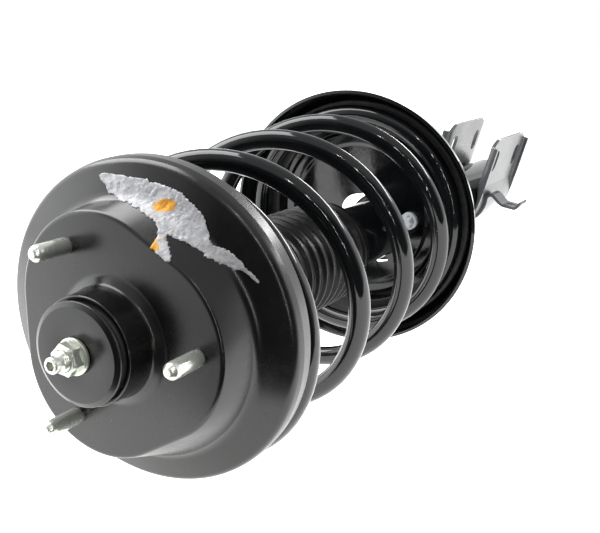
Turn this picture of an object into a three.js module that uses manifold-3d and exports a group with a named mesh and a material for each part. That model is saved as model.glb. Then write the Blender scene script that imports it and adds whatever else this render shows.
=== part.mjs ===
// Suspension strut assembly, lying on its two spring seats.
// Millimetres, +Z up. The damper axis is the Y axis, from the top mount (-Y) to the clevis (+Y).
// The spring and both spring seats share a second axis, leaned a few degrees off the damper axis.
import * as THREE from 'three';
import { mergeVertices } from 'three/addons/utils/BufferGeometryUtils.js';
import Module from 'manifold-3d';

const wasm = await Module();
wasm.setup();

// ---- driving dimensions ----
const GAP = 0.3;                        // clearance between touching pieces
const SEAT_YAW = 3.5;                   // lean of the spring axis towards -X, degrees
const SEAT_PITCH = 2.9;                 // lean of the spring axis towards +Z, degrees

const DISH = { rimR: 100, skirt: 12.5, wall: 2.6, floorRise: 9, floorR: 84 };
const PLATE = { faceY: -33.6, lobeR: 52.4, lobeOut: 22.6, turn: 1, flare: 9, edge: 4 };
const NECK = { lipY: -55.5, outerR: 31.5, wall: 3 };
const STUD = { count: 3, pitchR: 59, r: 5, length: 26, point: 3.5, headR: 8 };
const HUB = { discR: 30, discY: -62.3, discT: 3, rubberR: 27.2 };
const NUT = { flangeR: 10.6, flangeT: 2.2, acrossR: 9.4, height: 9.5 };
const ROD = { r: 11, threadR: 6, tipY: -81, tipR: 4.6, shoulderY: -30, endY: 318 };

const SPRING = {
  meanR: 89.2, wireR: 7.2, x: 4.4, z: -4.2,
  pitch: 82.3, freeStart: -69.7, topW: 20, bottomW: 298,
  from: 0.35, to: 5.25, phase: -7.2, stepsPerTurn: 20, sides: 9, blend: 6,
};
const SEAT = { rimR: 109.5, rimW: 288.8, floorW: 310.4, floorR: 101, wall: 2.6, plugX: 46.5, plugZ: -1 };
// [angle, reach from the damper axis, width] of the two drain notches
const NOTCHES = [[122, 32.5, 10.4], [-77, 30.5, 12]];
const BOOT = { r: 39.6, wall: 2.2, top: -9, bottom: 222, folds: 10, depth: 2.4 };
const TUBE = { r: 25.5, wall: 2.4, top: 200, bottom: 612 };
const CYLINDER = { r: 16.6, wall: 1.5, top: 233, bottom: 590 };
const PISTON = { r: 14.8, y: 286, height: 20 };
const CLEVIS = {
  roll: 15.5, half: 22.2, plate: 3.6, from: 500, to: 608, top: 70, wrapR: 29.4,
  slotH: 44.5, slotY: [523, 589], slotR: 6.4, slotLong: 5, flange: 6, flangeFrom: 17,
};

const HOSE = { from: 518, to: 542, thick: 3, tabX: 67, tabZ: -12, endZ: -4, slotX: 54 };

const COLOURS = {
  paint: { color: 0x1b1c1e, roughness: 0.42, metalness: 0.25 },
  gloss: { color: 0x0c0d0f, roughness: 0.16, metalness: 0.2 },
  zinc: { color: 0xd8dad2, roughness: 0.25, metalness: 0.9 },
  rubber: { color: 0x141414, roughness: 0.7, metalness: 0 },
  chrome: { color: 0xe4e6e8, roughness: 0.06, metalness: 1 },
  steel: { color: 0x9a9c9e, roughness: 0.35, metalness: 0.9 },
  foam: { color: 0xc9b98a, roughness: 0.9, metalness: 0 },
  plastic: { color: 0xc9ccd0, roughness: 0.45, metalness: 0 },
};

// ---- solids ----
const toRad = THREE.MathUtils.degToRad;

/** Position-only triangles with shared vertices, no slivers of zero area, faces outward. */
function weld(geometry) {
  const bare = new THREE.BufferGeometry();
  const flat = geometry.index ? geometry.toNonIndexed() : geometry;
  bare.setAttribute('position', flat.getAttribute('position').clone());
  const merged = mergeVertices(bare, 1e-3);
  const index = merged.getIndex().array;
  const at = merged.getAttribute('position');
  const tris = [];
  let volume = 0;
  const p = [0, 1, 2].map(() => new THREE.Vector3());
  for (let i = 0; i < index.length; i += 3) {
    const [a, b, c] = [index[i], index[i + 1], index[i + 2]];
    if (a === b || b === c || c === a) continue;
    tris.push(a, b, c);
    [a, b, c].forEach((v, k) => p[k].fromBufferAttribute(at, v));
    volume += p[0].dot(p[1].clone().cross(p[2]));
  }
  if (volume < 0) {
    for (let i = 0; i < tris.length; i += 3) [tris[i], tris[i + 1]] = [tris[i + 1], tris[i]];
  }
  merged.setIndex(tris);
  return merged;
}

function solid(geometry) {
  const g = weld(geometry);
  return new wasm.Manifold(new wasm.Mesh({
    numProp: 3,
    vertProperties: new Float32Array(g.getAttribute('position').array),
    triVerts: new Uint32Array(g.getIndex().array),
  }));
}

function geometryOf(manifold) {
  const mesh = manifold.getMesh();
  const g = new THREE.BufferGeometry();
  g.setAttribute('position', new THREE.BufferAttribute(new Float32Array(mesh.vertProperties), 3));
  g.setIndex(Array.from(mesh.triVerts));
  return g;
}

/** Revolves [radius, y] points round the Y axis. The outline closes on itself or ends on the axis. */
function turned(points, segments = 32) {
  const closes = points[0][0] > 0 || points.at(-1)[0] > 0;
  const ring = closes ? [...points, points[0]] : points;
  return new THREE.LatheGeometry(ring.map(([r, y]) => new THREE.Vector2(r, y)), segments);
}

const ring = (inner, outer, y0, y1, segments = 32) =>
  turned([[inner, y0], [outer, y0], [outer, y1], [inner, y1]], segments);

const disc = (r, y0, y1, segments = 32) => turned([[0, y0], [r, y0], [r, y1], [0, y1]], segments);

/** Extrudes a shape drawn in X and Z along Y, from y0 to y1. */
function alongY(shape, y0, y1, curveSegments = 10) {
  const g = new THREE.ExtrudeGeometry(shape, { depth: y1 - y0, bevelEnabled: false, curveSegments });
  return g.rotateX(Math.PI / 2).translate(0, y1, 0);
}

/** A hexagonal prism about the Y axis, radius to its corners. */
const hexagon = (r, y0, y1) => new THREE.CylinderGeometry(r, r, y1 - y0, 6).translate(0, (y0 + y1) / 2, 0);

// ---- the spring axis ----
const seatAxis = new THREE.Vector3(
  -Math.sin(toRad(SEAT_YAW)),
  Math.cos(toRad(SEAT_YAW)) * Math.cos(toRad(SEAT_PITCH)),
  Math.sin(toRad(SEAT_PITCH)),
).normalize();
const lean = new THREE.Quaternion().setFromUnitVectors(new THREE.Vector3(0, 1, 0), seatAxis);
const dishFrame = new THREE.Matrix4().makeRotationFromQuaternion(lean);
const springFrame = dishFrame.clone().setPosition(SPRING.x, 0, SPRING.z);
const inDish = (g) => g.applyMatrix4(dishFrame);
const inSpring = (g) => g.applyMatrix4(springFrame);

// ---- assembly ----
const strut = new THREE.Group();

function add(name, shape, look) {
  const geometry = weld(shape instanceof THREE.BufferGeometry ? shape : geometryOf(shape));
  geometry.computeVertexNormals();
  const mesh = new THREE.Mesh(geometry, new THREE.MeshStandardMaterial(COLOURS[look]));
  mesh.name = name;
  strut.add(mesh);
  return mesh;
}

/** Rounded triangle with one lobe towards each stud, grown outward by an offset. */
function lobedOutline(grow) {
  const shape = new THREE.Shape();
  const arcSteps = 8;
  for (let k = 0; k < STUD.count; k += 1) {
    const middle = toRad(PLATE.turn + 120 * k);
    for (let i = 0; i <= arcSteps; i += 1) {
      const a = middle + toRad(-60 + 120 * (i / arcSteps));
      const x = PLATE.lobeOut * Math.cos(middle) + (PLATE.lobeR + grow) * Math.cos(a);
      const z = PLATE.lobeOut * Math.sin(middle) + (PLATE.lobeR + grow) * Math.sin(a);
      if (k === 0 && i === 0) shape.moveTo(x, z);
      else shape.lineTo(x, z);
    }
  }
  shape.closePath();
  return shape;
}

/** Stack of lobed slices, each [y, grow], joined into one solid by hulls of neighbours. */
function lobedStack(slices) {
  const thin = 0.05;
  const layers = slices.map(([y, grow]) => solid(alongY(lobedOutline(grow), y, y + thin)));
  let body = wasm.Manifold.hull([layers[0], layers[1]]);
  for (let i = 1; i < layers.length - 1; i += 1) {
    body = body.add(wasm.Manifold.hull([layers[i], layers[i + 1]]));
  }
  return body;
}

function mountShell() {
  const { rimR, skirt, wall, floorRise, floorR } = DISH;
  const outer = turned([
    [0, skirt], [rimR, skirt], [rimR, 3], [rimR - 2, -2], [rimR - 7, -5.5],
    [floorR, -floorRise], [0, -floorRise - 2],
  ], 48);
  const inner = turned([
    [0, skirt + 1], [rimR - wall, skirt + 1], [rimR - wall, 3], [rimR - 8, -3],
    [floorR, wall - floorRise], [0, wall - floorRise - 2],
  ], 48);
  const { faceY, edge, flare } = PLATE;
  const rise = [[-4, flare + 4], [-14, flare * 0.55], [faceY + edge + 6, 1.5], [faceY + edge, 0], [faceY, -edge]];
  const hollow = rise.map(([y, grow]) => [y + wall + 0.4, grow - wall - 0.4]);
  hollow.unshift([8, flare]);
  const neck = disc(NECK.outerR, NECK.lipY, faceY + 2);
  const neckRoot = turned([[0, faceY - 6], [33, faceY - 6], [38, faceY + 1], [0, faceY + 1]]);
  const bore = disc(NECK.outerR - NECK.wall, NECK.lipY - 1, faceY + 8);
  let shell = solid(inDish(outer)).add(lobedStack(rise)).add(solid(neck)).add(solid(neckRoot));
  shell = shell.subtract(solid(inDish(inner))).subtract(lobedStack(hollow)).subtract(solid(bore));
  for (const at of studCentres()) {
    shell = shell.subtract(solid(disc(STUD.r + GAP, faceY - 5, faceY + 8, 16).translate(at.x, 0, at.z)));
  }
  return shell;
}

function studCentres() {
  return Array.from({ length: STUD.count }, (_, k) => {
    const a = toRad(PLATE.turn + 120 * k);
    return { x: STUD.pitchR * Math.cos(a), z: STUD.pitchR * Math.sin(a) };
  });
}

/** Press-in stud: flat head under the plate, plain shank and rounded lead-in point. */
function stud() {
  const tip = PLATE.faceY - STUD.length;
  const under = PLATE.faceY + DISH.wall + 0.4 + GAP;
  return turned([
    [0, tip], [STUD.r - 2.4, tip], [STUD.r - 1.2, tip + 0.8], [STUD.r - 1, tip + STUD.point],
    [STUD.r, tip + STUD.point + 1], [STUD.r, under], [STUD.headR, under], [STUD.headR, under + 3], [0, under + 3],
  ], 20);
}

class SpringPath extends THREE.Curve {
  getPoint(u, target = new THREE.Vector3()) {
    const t = SPRING.from + (SPRING.to - SPRING.from) * u;
    const angle = 2 * Math.PI * t + toRad(SPRING.phase);
    const free = SPRING.freeStart + SPRING.pitch * t;
    const ramp = (x) => 0.5 * (x + Math.hypot(x, SPRING.blend));
    const w = SPRING.topW + ramp(free - SPRING.topW) - ramp(free - SPRING.bottomW);
    return target.set(SPRING.meanR * Math.cos(angle), w, -SPRING.meanR * Math.sin(angle));
  }
}

function coilSpring() {
  const section = new THREE.Shape(Array.from({ length: SPRING.sides }, (_, k) => {
    const a = (2 * Math.PI * k) / SPRING.sides;
    return new THREE.Vector2(SPRING.wireR * Math.cos(a), SPRING.wireR * Math.sin(a));
  }));
  const turns = SPRING.to - SPRING.from;
  return new THREE.ExtrudeGeometry(section, {
    steps: Math.round(turns * SPRING.stepsPerTurn),
    extrudePath: new SpringPath(),
  });
}

/** Pressed lower seat with a hole round the tube and two drain notches beside it. */
function lowerSeat() {
  const { rimR, rimW, floorW, floorR, wall } = SEAT;
  const back = floorW + wall;
  const pan = turned([
    [20, floorW], [floorR, floorW], [floorR + 2, floorW - 4], [rimR - 5, rimW + 8], [rimR - wall, rimW],
    [rimR, rimW], [rimR, rimW + 9], [floorR + 5, back - 4], [floorR + 1, back], [20, back],
  ], 48);
  let seat = solid(inSpring(pan)).subtract(solid(disc(TUBE.r + GAP, 250, 360, 32)));
  for (const [degrees, reach, width] of NOTCHES) {
    const notch = new THREE.BoxGeometry(16, 60, width).translate(reach - 8, 315, 0);
    seat = seat.subtract(solid(notch.rotateY(-toRad(degrees))));
  }
  const plugHole = disc(4.2, floorW - 5, back + 5, 12).translate(SEAT.plugX, 0, SEAT.plugZ);
  return seat.subtract(solid(inSpring(plugHole)));
}

/** Push-in plastic plug: ribbed head standing proud of the seat floor, shank through its hole. */
const seatPlug = () => turned([
  [0, SEAT.floorW - 12], [4.5, SEAT.floorW - 12], [5.6, SEAT.floorW - 10], [5.6, SEAT.floorW - 5],
  [7.4, SEAT.floorW - 4.5], [7.4, SEAT.floorW - GAP], [3.8, SEAT.floorW - GAP],
  [3.8, SEAT.floorW + SEAT.wall + 4], [0, SEAT.floorW + SEAT.wall + 5],
], 20).translate(SEAT.plugX, 0, SEAT.plugZ);

function dustBoot() {
  const { r, wall, top, bottom, folds, depth } = BOOT;
  const outside = [];
  const pitch = (bottom - top - 12) / folds;
  for (let i = 0; i < folds; i += 1) {
    const y = top + 6 + pitch * i;
    outside.push([r - depth, y], [r, y + pitch * 0.5]);
  }
  outside.push([r - depth, bottom - 6]);
  const inside = outside.map(([x, y]) => [x - wall, y]).reverse();
  return turned([
    [r - depth - wall, top], [r - depth, top], ...outside, [r - depth, bottom], [r - depth - wall, bottom], ...inside,
  ], 24);
}

/** One half of the clevis: a half wrap round the tube that narrows to a flat slotted ear. */
function clevisHalf(side) {
  const { half, plate, from, to, top, wrapR, slotH, slotY, slotR, slotLong, flange, flangeFrom } = CLEVIS;
  const inner = TUBE.r + GAP;
  const outline = new THREE.Shape();
  const bend = Math.asin((half + plate) / wrapR);
  outline.moveTo(half, top);
  outline.lineTo(half + plate, top);
  outline.lineTo(half + plate, wrapR * Math.cos(bend) + 1);
  outline.absarc(0, 0, wrapR, Math.PI / 2 - bend, -Math.PI / 2 + 0.02, true);
  outline.absarc(0, 0, inner, -Math.PI / 2 + 0.02, Math.PI / 2 - Math.asin(half / inner), false);
  outline.closePath();
  let ear = solid(alongY(outline, from, to, 12));
  const edges = [[from, from + plate], [to - plate, to]];
  for (const [y0, y1] of edges) {
    const high = top - 3;
    const lip = new THREE.BoxGeometry(flange, y1 - y0, high - flangeFrom)
      .translate(half + plate + flange / 2 - 0.5, (y0 + y1) / 2, (high + flangeFrom) / 2);
    ear = ear.add(solid(lip));
  }
  for (const y of slotY) {
    const slot = new THREE.Shape();
    slot.absarc(y, slotH + slotLong, slotR, 0, Math.PI, false);
    slot.absarc(y, slotH - slotLong, slotR, Math.PI, 2 * Math.PI, false);
    slot.closePath();
    const cutter = new THREE.ExtrudeGeometry(slot, { depth: 20, bevelEnabled: false, curveSegments: 8 });
    cutter.applyMatrix4(new THREE.Matrix4().set(0, 0, 1, half - 8, 1, 0, 0, 0, 0, 1, 0, 0, 0, 0, 0, 1));
    ear = ear.subtract(solid(cutter));
  }
  for (const y of [from, to]) {
    const corner = new THREE.BoxGeometry(30, 12, 12).rotateX(Math.PI / 4).translate(half + 5, y, top);
    ear = ear.subtract(solid(corner));
  }
  const g = geometryOf(ear);
  if (side < 0) g.scale(-1, 1, 1);
  return weld(g).rotateY(toRad(CLEVIS.roll));
}

/** Hose and sensor-lead bracket: a strap round the clevis wrap that ends in a slotted, upturned tab. */
function hoseBracket() {
  const { from, to, thick, tabX, tabZ, endZ, slotX } = HOSE;
  const inner = CLEVIS.wrapR + GAP;
  const outer = inner + thick;
  const low = toRad(-62);
  const lift = toRad(4);
  const plan = new THREE.Shape();
  plan.absarc(0, 0, outer, low, toRad(-4), false);
  plan.lineTo(tabX, tabZ);
  plan.lineTo(tabX + 2, endZ);
  plan.lineTo(tabX - 1, endZ);
  plan.lineTo(tabX - 3, tabZ + thick);
  plan.lineTo(outer + 3, inner * Math.sin(lift) + 1);
  plan.lineTo(inner * Math.cos(lift), inner * Math.sin(lift));
  plan.absarc(0, 0, inner, lift, low, true);
  plan.closePath();
  const strap = solid(alongY(plan, from, to, 10));
  const slot = new THREE.BoxGeometry(12, 6, 30).translate(slotX, (from + to) / 2, tabZ);
  return strap.subtract(solid(slot));
}

// -- top mount --
add('mount_shell', mountShell(), 'paint');
studCentres().forEach((at, k) => add(`mount_stud_${k + 1}`, stud().translate(at.x, 0, at.z), 'zinc'));
add('mount_bushing', turned([
  [10.8, HUB.discY + HUB.discT + GAP], [HUB.rubberR, HUB.discY + HUB.discT + GAP], [HUB.rubberR, -38],
  [22, -35], [10.8, -35],
]), 'rubber');
add('bushing_sleeve', ring(6.3, 10.5, HUB.discY + HUB.discT + GAP, -34.2, 24), 'steel');
add('retainer_washer', turned([
  [6.4, HUB.discY], [HUB.discR - 2.4, HUB.discY], [HUB.discR, HUB.discY + 1.4],
  [HUB.discR, HUB.discY + HUB.discT], [6.4, HUB.discY + HUB.discT],
]), 'paint');
add('lower_washer', ring(6.4, 20, -33.8, -30.4, 32), 'steel');

// -- rod nut: flange and hexagon, bored for the rod's thread --
const nutBase = HUB.discY - GAP;
const nutBody = solid(hexagon(NUT.acrossR, nutBase - NUT.height, nutBase - NUT.flangeT + 0.2))
  .add(solid(disc(NUT.flangeR, nutBase - NUT.flangeT, nutBase, 32)));
add('rod_nut', nutBody.subtract(solid(disc(ROD.threadR + GAP, nutBase - 20, nutBase + 5, 24))), 'zinc');

// -- rod, piston and stops --
const rodBody = solid(turned([
  [0, ROD.tipY], [ROD.tipR - 1, ROD.tipY], [ROD.tipR, ROD.tipY + 1], [ROD.tipR, ROD.tipY + 4],
  [ROD.threadR, ROD.tipY + 6], [ROD.threadR, ROD.shoulderY], [ROD.r, ROD.shoulderY],
  [ROD.r, PISTON.y - 6], [7, PISTON.y - 6], [7, ROD.endY - 1], [0, ROD.endY],
], 28));
add('piston_rod', rodBody.subtract(solid(hexagon(2.9, ROD.tipY - 2, ROD.tipY + 5))), 'chrome');
add('rebound_stop', ring(ROD.r + GAP, 14.6, TUBE.top + 32.6, TUBE.top + 46, 28), 'rubber');
add('piston', ring(7 + GAP, PISTON.r - 1.4, PISTON.y, PISTON.y + PISTON.height, 28), 'steel');
add('piston_band', ring(PISTON.r - 1.1, PISTON.r, PISTON.y + 4, PISTON.y + 14, 28), 'rubber');
const pistonNut = solid(hexagon(11, PISTON.y + PISTON.height + GAP, ROD.endY - 2));
add('piston_nut', pistonNut.subtract(solid(disc(7 + GAP, 280, 340, 20))), 'steel');

// -- bump stop and boot --
add('bump_stop_cup', turned([
  [ROD.r + GAP, -29.8], [33, -29.8], [35, -27.8], [35, -14], [33.5, -14], [33.5, -27.5], [ROD.r + GAP, -27.8],
], 32), 'steel');
add('bump_stop', turned([
  [ROD.r + 0.6, -27.4], [30, -27.4], [30, -12], [24, -6], [27, 4], [22, 12], [25, 22], [20, 30],
  [22, 40], [15, 52], [ROD.r + 0.6, 52],
], 32), 'foam');
add('dust_boot', dustBoot(), 'rubber');

// -- spring, its seats and pads --
add('upper_isolator', inDish(turned([
  [70, -3.6], [86, -5], [92, -1.6], [96, 3], [96, DISH.skirt - 0.4], [70, DISH.skirt - 0.4],
], 48)), 'rubber');
add('coil_spring', inSpring(coilSpring()), 'gloss');
add('lower_isolator', inSpring(ring(78, 99, SPRING.bottomW + SPRING.wireR + 1, SEAT.floorW - GAP, 48)), 'rubber');
add('lower_spring_seat', lowerSeat(), 'gloss');
add('seat_plug', inSpring(seatPlug()), 'plastic');
add('seat_collar', ring(TUBE.r + GAP, TUBE.r + 5, 320, 334), 'gloss');

// -- damper body --
add('damper_tube', turned([
  [0, TUBE.bottom], [TUBE.r - 3, TUBE.bottom], [TUBE.r, TUBE.bottom - 3], [TUBE.r, TUBE.top],
  [TUBE.r - TUBE.wall, TUBE.top], [TUBE.r - TUBE.wall, TUBE.bottom - 4], [0, TUBE.bottom - 4],
]), 'gloss');
const boreR = TUBE.r - TUBE.wall - GAP;
add('gland_nut', turned([
  [ROD.r + 0.5, TUBE.top - 2.4], [TUBE.r - 1, TUBE.top - 2.4], [TUBE.r, TUBE.top - GAP], [boreR, TUBE.top - GAP],
  [boreR, TUBE.top + 8], [ROD.r + 6, TUBE.top + 8], [ROD.r + 6, TUBE.top + 1], [ROD.r + 0.5, TUBE.top + 1],
]), 'steel');
add('rod_seal', ring(ROD.r + GAP, ROD.r + 5.6, TUBE.top + 1.4, TUBE.top + 7.8, 28), 'rubber');
add('rod_guide', turned([
  [ROD.r + GAP, TUBE.top + 8.4], [boreR, TUBE.top + 8.4], [boreR, TUBE.top + 18],
  [CYLINDER.r - CYLINDER.wall - GAP, TUBE.top + 20], [CYLINDER.r - CYLINDER.wall - GAP, TUBE.top + 32],
  [ROD.r + GAP, TUBE.top + 32],
], 28), 'steel');
add('pressure_tube', ring(CYLINDER.r - CYLINDER.wall, CYLINDER.r, TUBE.top + 20.4, CYLINDER.bottom, 32), 'steel');
add('base_valve', turned([
  [0, CYLINDER.bottom - 8], [12, CYLINDER.bottom - 8], [14.6, CYLINDER.bottom + GAP],
  [18, CYLINDER.bottom + GAP], [20, TUBE.bottom - 8], [16, TUBE.bottom - 4.4], [0, TUBE.bottom - 4.4],
], 28), 'steel');

// -- clevis and bracket --
add('clevis_left', clevisHalf(-1), 'gloss');
add('clevis_right', clevisHalf(1), 'gloss');
add('hose_bracket', hoseBracket(), 'gloss');

// ---- stand the whole on Z = 0, centred over the origin ----
strut.updateMatrixWorld(true);
const reach = new THREE.Box3().setFromObject(strut);
strut.position.set(-(reach.min.x + reach.max.x) / 2, -(reach.min.y + reach.max.y) / 2, -reach.min.z);
strut.updateMatrixWorld(true);

export default strut;
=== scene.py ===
"""Suspension strut lying on its two spring seats: the finished surfaces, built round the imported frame.

Outlines are in millimetres. The first number of a point is the distance from an axis and the second the
place along it, from the top mount towards the clevis. Pieces reach the frame's metres in one transform.
"""

import logging
import math
from dataclasses import dataclass, field
from enum import Enum
from typing import Callable, Iterable, Protocol, Sequence

import bmesh
import bpy
from mathutils import Matrix, Vector, noise
from mathutils.bvhtree import BVHTree


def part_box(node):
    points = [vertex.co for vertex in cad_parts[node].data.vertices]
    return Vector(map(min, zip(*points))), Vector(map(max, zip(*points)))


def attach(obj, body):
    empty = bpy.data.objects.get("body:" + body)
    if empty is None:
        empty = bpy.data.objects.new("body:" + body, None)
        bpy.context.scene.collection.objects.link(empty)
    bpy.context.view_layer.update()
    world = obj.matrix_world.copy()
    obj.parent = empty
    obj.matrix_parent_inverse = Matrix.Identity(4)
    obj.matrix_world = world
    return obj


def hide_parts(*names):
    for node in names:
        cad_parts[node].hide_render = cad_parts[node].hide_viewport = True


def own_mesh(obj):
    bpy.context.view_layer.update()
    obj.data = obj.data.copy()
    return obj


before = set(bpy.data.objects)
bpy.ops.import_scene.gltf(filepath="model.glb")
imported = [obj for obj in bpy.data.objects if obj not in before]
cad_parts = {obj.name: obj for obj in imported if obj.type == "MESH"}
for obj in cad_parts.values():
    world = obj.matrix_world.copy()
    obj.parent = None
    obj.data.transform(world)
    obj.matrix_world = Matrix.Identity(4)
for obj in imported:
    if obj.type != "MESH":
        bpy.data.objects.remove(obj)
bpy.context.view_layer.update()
LOG = logging.getLogger("strut")
MM = 0.001
SENSOR_MM = 36.0
FLOOR_HALF = 6.0         # half the floor's width, in metres
FLOOR_DROP = 0.0005      # gap under the strut, in metres
SPARKLE_REACH = 1.25     # distance of the small lamps, in metres

Corner = tuple[float, float, float]
Outline = list[Vector]


class Body(Enum):
    """The rigid bodies that pieces ride on."""

    TOP = "top_mount"
    SPRING = "spring_carriage"
    LOWER = "lower_strut"


class Slot(Enum):
    """The record's material slots."""

    SATIN = "satin_black_paint"
    GLOSS = "gloss_black_paint"
    ZINC = "bright_zinc"
    STEEL = "plain_steel"
    CHROME = "chromed_rod"
    RUBBER = "moulded_rubber"
    BOOT = "boot_rubber"
    FOAM = "cellular_foam"
    PLASTIC = "pale_plastic"


# ---------------------------------------------------------------- places

@dataclass(frozen=True)
class Axes:
    """Where the damper axis, the dish and the spring axis lie, read from the frame."""

    tube_end: float = 612.0
    yaw: float = 3.5
    pitch: float = 2.9
    spring_x: float = 4.4
    spring_z: float = -4.2

    def origin(self) -> Vector:
        """The centre of the dish rim, on the damper axis, in metres."""
        low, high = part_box("damper_tube")
        return Vector(((low.x + high.x) / 2, high.y - self.tube_end * MM, (low.z + high.z) / 2))

    def lean(self) -> Matrix:
        """The turn from the damper axis to the spring axis."""
        yaw, pitch = math.radians(self.yaw), math.radians(self.pitch)
        axis = Vector((-math.sin(yaw), math.cos(yaw) * math.cos(pitch), math.sin(pitch)))
        return Vector((0, 1, 0)).rotation_difference(axis).to_matrix().to_4x4()

    def damper(self) -> Matrix:
        """From millimetres about the damper axis to the frame."""
        return Matrix.Translation(self.origin()) @ Matrix.Scale(MM, 4)

    def dish(self) -> Matrix:
        """From millimetres about the dish's own axis to the frame."""
        return self.damper() @ self.lean()

    def spring(self) -> Matrix:
        """From millimetres about the spring's axis to the frame."""
        return self.damper() @ Matrix.Translation((self.spring_x, 0, self.spring_z)) @ self.lean()


AXES = Axes()


# ---------------------------------------------------------------- mesh tools

def ramp(value: float, start: float, end: float) -> float:
    """A smooth step from 0 at start to 1 at end.

    Args:
        value: the number to grade.
        start: where the step begins.
        end: where it is complete.

    Returns:
        A number from 0 to 1.
    """
    t = min(1.0, max(0.0, (value - start) / (end - start)))
    return t * t * (3 - 2 * t)


def rounded(corners: Sequence[Corner], closed: bool = False, steps: int = 5) -> Outline:
    """Turns corners with a fillet radius each into an outline with true arcs.

    Args:
        corners: (across, along, fillet radius) of each corner.
        closed: whether the last corner joins the first.
        steps: segments in each arc.

    Returns:
        The points of the outline.
    """
    points: Outline = []
    count = len(corners)
    for i, (across, along, fillet) in enumerate(corners):
        here = Vector((across, along))
        if fillet <= 0 or (not closed and i in (0, count - 1)):
            points.append(here)
            continue
        back = Vector(corners[i - 1][:2]) - here
        on = Vector(corners[(i + 1) % count][:2]) - here
        half = back.angle(on) / 2
        if half > math.radians(89.5):
            points.append(here)
            continue
        cut = min(fillet / math.tan(half), 0.48 * back.length, 0.48 * on.length)
        reach = cut / math.cos(half)
        centre = here + (back.normalized() + on.normalized()).normalized() * reach
        start = here + back.normalized() * cut - centre
        stop = here + on.normalized() * cut - centre
        sweep = start.angle_signed(stop)
        for k in range(steps + 1):
            a = -sweep * k / steps
            c, s = math.cos(a), math.sin(a)
            points.append(centre + Vector((start.x * c - start.y * s, start.x * s + start.y * c)))
    return points


def wall(outline: Outline, thickness: float) -> Outline:
    """Closes an open outline into the section of a sheet.

    Args:
        outline: one face of the sheet.
        thickness: distance to the other face, positive to the left of the outline's direction.

    Returns:
        The closed section, out along one face and back along the other.
    """
    other: Outline = []
    for i, here in enumerate(outline):
        before = (here - outline[max(0, i - 1)]).normalized()
        after = (outline[min(len(outline) - 1, i + 1)] - here).normalized()
        along = (before + after).normalized()
        share = max(0.6, along.dot(after if after.length else before))
        other.append(here + Vector((-along.y, along.x)) * (thickness / share))
    return outline + other[::-1]


def spun(outline: Outline, steps: int = 96, closed: bool = True) -> bmesh.types.BMesh:
    """Spins an outline round the Y axis.

    Args:
        outline: the points, with the distance from the axis first.
        steps: segments round the axis.
        closed: whether the last point joins the first.

    Returns:
        The turned body, with its faces outward.
    """
    bm = bmesh.new()
    verts = [bm.verts.new((p.x, p.y, 0)) for p in outline]
    for a, b in zip(verts, verts[1:]):
        bm.edges.new((a, b))
    if closed and outline[0].x > 0:
        bm.edges.new((verts[-1], verts[0]))
    bmesh.ops.spin(bm, geom=bm.verts[:] + bm.edges[:], cent=(0, 0, 0), axis=(0, 1, 0), dvec=(0, 0, 0),
                   angle=math.tau, steps=steps, use_merge=True, use_duplicate=False)
    bmesh.ops.remove_doubles(bm, verts=bm.verts, dist=0.001)
    bmesh.ops.recalc_face_normals(bm, faces=bm.faces)
    return bm


def prism(outline: Iterable[Vector], place: Matrix, depth: float) -> bmesh.types.BMesh:
    """Extrudes a flat outline.

    Args:
        outline: the corners in the XY plane.
        place: where that plane goes.
        depth: how far it is pulled along the plane's own Z.

    Returns:
        A closed solid.
    """
    bm = bmesh.new()
    face = bm.faces.new([bm.verts.new((p.x, p.y, 0)) for p in outline])
    out = bmesh.ops.extrude_face_region(bm, geom=[face])
    moved = [g for g in out["geom"] if isinstance(g, bmesh.types.BMVert)]
    bmesh.ops.translate(bm, vec=(0, 0, depth), verts=moved)
    bmesh.ops.transform(bm, matrix=place, verts=bm.verts)
    bmesh.ops.recalc_face_normals(bm, faces=bm.faces)
    return bm


def drawn(count: int, rows: int, move: Callable[[int, int], Vector], closed: bool = False) -> bmesh.types.BMesh:
    """Draws a sheet or a tube by pulling a chain of points along, row after row.

    Args:
        count: points in the chain.
        rows: how many times the chain is laid down.
        move: gives the place of point j in row i.
        closed: whether the chain is a ring.

    Returns:
        An open sheet, or a tube with open ends.
    """
    def pairs(chain: list[bmesh.types.BMVert]) -> list[tuple[bmesh.types.BMVert, bmesh.types.BMVert]]:
        """The neighbours along the chain."""
        return list(zip(chain, chain[1:] + chain[:1] if closed else chain[1:]))

    bm = bmesh.new()
    chain = [bm.verts.new(move(0, j)) for j in range(count)]
    edges = [bm.edges.new(pair) for pair in pairs(chain)]
    for i in range(1, rows):
        pulled = bmesh.ops.extrude_edge_only(bm, edges=edges)["geom"]
        old, follow = set(chain), {}
        for vert in (g for g in pulled if isinstance(g, bmesh.types.BMVert)):
            for edge in vert.link_edges:
                if edge.other_vert(vert) in old:
                    follow[edge.other_vert(vert)] = vert
        chain = [follow[v] for v in chain]
        for j, vert in enumerate(chain):
            vert.co = move(i, j)
        edges = [bm.edges.get(pair) for pair in pairs(chain)]
    bmesh.ops.recalc_face_normals(bm, faces=bm.faces)
    return bm


def capped(bm: bmesh.types.BMesh) -> bmesh.types.BMesh:
    """Closes the open ends of a tube and turns every face outward."""
    bmesh.ops.holes_fill(bm, edges=[e for e in bm.edges if e.is_boundary], sides=0)
    bmesh.ops.recalc_face_normals(bm, faces=bm.faces)
    return bm


def face_out(bm: bmesh.types.BMesh, outward: Callable[[Vector], Vector]) -> bmesh.types.BMesh:
    """Turns an open sheet so that its faces look the given way.

    Args:
        bm: the sheet, with consistent normals.
        outward: the wanted direction at a point.

    Returns:
        The same sheet.
    """
    score = sum(f.normal.dot(outward(f.calc_center_median())) * f.calc_area() for f in bm.faces)
    if score < 0:
        bmesh.ops.reverse_faces(bm, faces=bm.faces)
    return bm


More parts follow.
